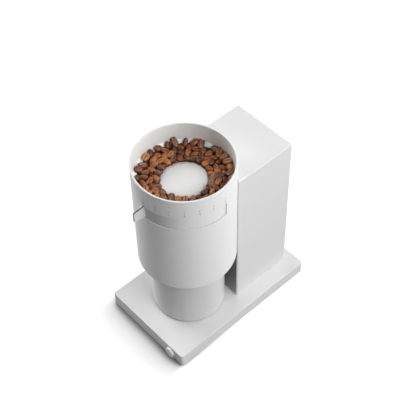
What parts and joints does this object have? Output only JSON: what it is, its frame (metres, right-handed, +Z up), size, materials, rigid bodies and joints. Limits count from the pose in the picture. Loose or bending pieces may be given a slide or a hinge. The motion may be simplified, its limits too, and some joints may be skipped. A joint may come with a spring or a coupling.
{
  "type": "single-dose coffee grinder",
  "caption": "Countertop single-dose coffee grinder: open round hopper with beans and a centre dome, setting lever in a side slot, square tower, flat base with push button, and catch cup.",
  "frame": {"origin": "on the table, under the middle of the base and of the whole outline", "axes": "+X to the right of a person who faces the button, +Y to the back, towards the tower, +Z up"},
  "size_m": [0.131, 0.218, 0.268],
  "materials": {
    "shell_white": "fine matte moulded plastic",
    "bin_white": "smooth satin moulded plastic",
    "dome_white": "smooth satin moulded plastic",
    "cup_white": "matte painted steel",
    "lever_white": "matte painted metal",
    "plate_grey": "moulded plastic",
    "foot_rubber": "soft rubber",
    "inner_plastic": "glass-filled moulded plastic",
    "gear_plastic": "moulded gear plastic",
    "steel": "machined steel",
    "burr_steel": "ground and hardened steel",
    "screw_steel": "plated steel",
    "bush_bronze": "sintered bronze",
    "motor_steel": "plated steel can",
    "motor_core": "laminated steel and copper",
    "magnet_black": "sintered magnet",
    "board_green": "lacquered board with parts",
    "gland_black": "moulded rubber",
    "button_white": "smooth moulded plastic",
    "bean_brown": "roasted coffee beans, slightly oily"
  },
  "bodies": {
    "root": {"base_shell": "shell_white", "base_plate": "plate_grey", "foot_front_right": "foot_rubber", "foot_back_right": "foot_rubber", "foot_front_left": "foot_rubber", "foot_back_left": "foot_rubber", "tower_shell": "shell_white", "body_shell": "shell_white", "hopper_bin": "bin_white", "dome_cap": "dome_white", "coffee_beans": "bean_brown", "bean_bed": "bean_brown", "grinding_chamber": "inner_plastic", "chamber_screws": "screw_steel", "shaft_bush_lower": "bush_bronze", "shaft_bush_upper": "bush_bronze", "gear_case": "inner_plastic", "gear_cover": "inner_plastic", "cover_screws": "screw_steel", "gearbox_screws": "screw_steel", "idler_pin": "steel", "motor_can": "motor_steel", "motor_end_cap": "inner_plastic", "motor_magnets": "magnet_black", "motor_screws": "screw_steel", "chute": "inner_plastic", "catch_cup": "cup_white", "cup_magnets": "magnet_black", "button_switch": "board_green", "control_board": "board_green", "cord_gland": "gland_black", "base_screws": "screw_steel", "tower_screws": "screw_steel"},
    "adjuster": {"adjusting_ring": "shell_white", "setting_lever": "lever_white", "lever_screws": "screw_steel"},
    "ring_burr_holder": {"burr_carrier": "inner_plastic", "ring_burr": "burr_steel"},
    "burr_shaft": {"drive_shaft": "steel", "cone_burr": "burr_steel", "burr_bolt": "screw_steel", "sweeper": "inner_plastic", "shaft_gear": "gear_plastic"},
    "idler": {"idler_gear": "gear_plastic"},
    "rotor": {"motor_rotor": "motor_core", "motor_pinion": "steel"},
    "button": {"power_button": "button_white"}
  },
  "joints": [
    {"name": "lever_swing", "type": "hinge", "parent": "root", "child": "adjuster", "pos_m": [0, -0.0343, 0.2205], "axis": [0, 0, 1], "range_deg": [0, 96]},
    {"name": "burr_lift", "type": "slide", "parent": "adjuster", "child": "ring_burr_holder", "axis": [0, 0, 1], "range_m": [0, 0.00081]},
    {"name": "shaft_spin", "type": "hinge", "parent": "root", "child": "burr_shaft", "pos_m": [0, -0.0343, 0.147], "axis": [0, 0, 1], "continuous": true},
    {"name": "idler_spin", "type": "hinge", "parent": "root", "child": "idler", "pos_m": [0, 0.0197, 0.147], "axis": [0, 0, 1], "continuous": true},
    {"name": "rotor_spin", "type": "hinge", "parent": "root", "child": "rotor", "pos_m": [0, 0.0527, 0.147], "axis": [0, 0, 1], "continuous": true},
    {"name": "button_press", "type": "slide", "parent": "root", "child": "button", "axis": [0, 1, 0], "range_m": [0, 0.0011], "stiffness_N_per_m": 900, "springref_m": -0.001}
  ],
  "couplings": [
    {"joint": "burr_lift", "follows": "lever_swing", "m_per_rad": 0.00047746},
    {"joint": "idler_spin", "follows": "shaft_spin", "ratio": -1.25},
    {"joint": "rotor_spin", "follows": "shaft_spin", "ratio": 3.3333}
  ]
}
